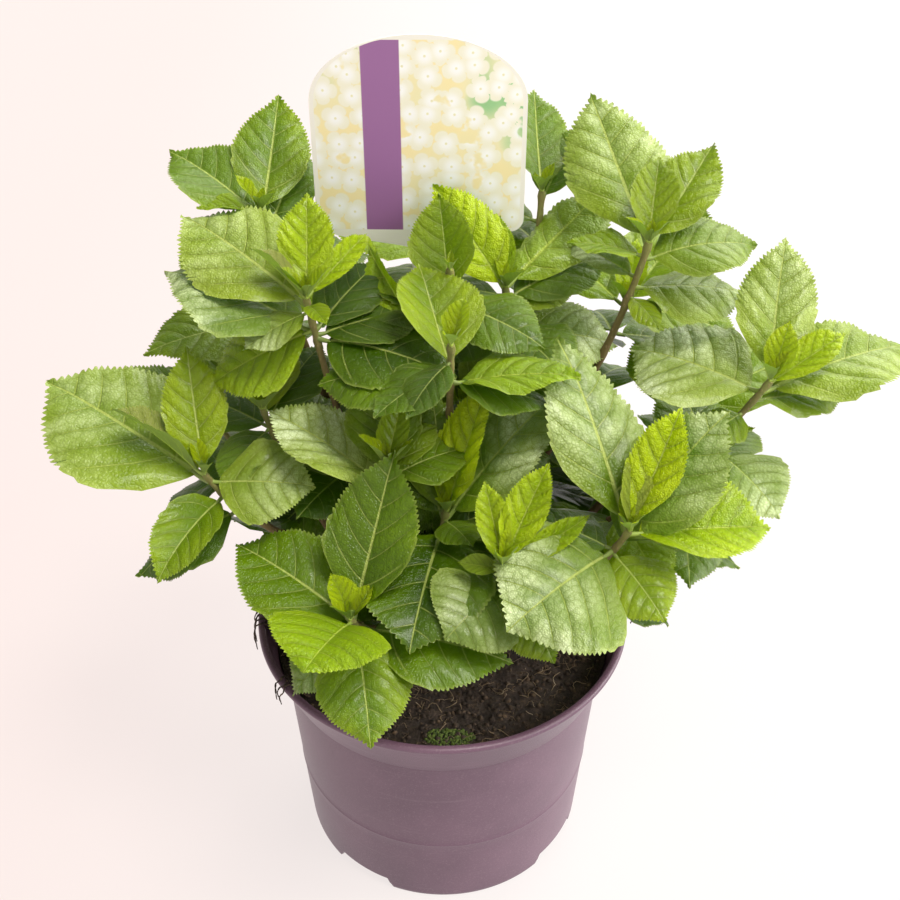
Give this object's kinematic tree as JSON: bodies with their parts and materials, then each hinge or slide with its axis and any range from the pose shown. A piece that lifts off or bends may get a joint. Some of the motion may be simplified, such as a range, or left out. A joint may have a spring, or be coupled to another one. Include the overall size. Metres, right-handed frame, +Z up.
{
  "type": "potted hydrangea shrub",
  "caption": "Bigleaf hydrangea in leaf, bushy and not yet in bloom, in a round plastic nursery pot with a flared collar and a plain picture label.",
  "frame": {"origin": "centre of the pot's flat underside, on the surface it stands on", "axes": "+Z up, -Y towards the front, +X to the right"},
  "size_m": [0.498, 0.382, 0.5],
  "materials": {
    "pot": "dusty plum purple, finely mottled",
    "compost": "dark fibrous peat",
    "label": "printed card, satin",
    "bark": "brown speckled bark, greener near the tips",
    "leaf": "satin green leaves with pale veins",
    "young_leaf": "lime green young leaves",
    "peat_fibre": "pale dry root fibre"
  },
  "bodies": {
    "root": {"pot": "pot", "compost": "compost", "care_label": "label", "stem_west": "bark", "stem_north_west": "bark", "stem_north": "bark", "stem_north_east": "bark", "stem_east": "bark", "stem_south_east": "bark", "stem_south_west": "bark", "bough_mid_left": "bark", "bough_left": "bark", "bough_upper_left": "bark", "bough_back_left": "bark", "bough_centre": "bark", "bough_mid_back": "bark", "bough_label_foot": "bark", "bough_back_centre": "bark", "bough_upper_right": "bark", "bough_right": "bark", "bough_low_right": "bark", "bough_right_front": "bark", "bough_front_right": "bark", "bough_front_left": "bark", "bough_heart": "bark", "bough_heart_left": "bark", "bough_back": "bark", "bough_back_right": "bark", "bough_low_back_left": "bark", "bough_low_left": "bark", "bough_low_east": "bark", "foliage_mid_left": "leaf", "foliage_left": "leaf", "foliage_upper_left": "leaf", "foliage_back_left": "leaf", "foliage_centre": "leaf", "foliage_mid_back": "leaf", "foliage_label_foot": "leaf", "foliage_back_centre": "leaf", "foliage_upper_right": "leaf", "foliage_right": "leaf", "foliage_low_right": "leaf", "foliage_right_front": "leaf", "foliage_front_right": "leaf", "foliage_front_left": "leaf", "foliage_heart": "leaf", "foliage_heart_left": "leaf", "foliage_back": "leaf", "foliage_back_right": "leaf", "foliage_low_back_left": "leaf", "foliage_low_left": "leaf", "foliage_low_east": "leaf"}
  },
  "joints": []
}
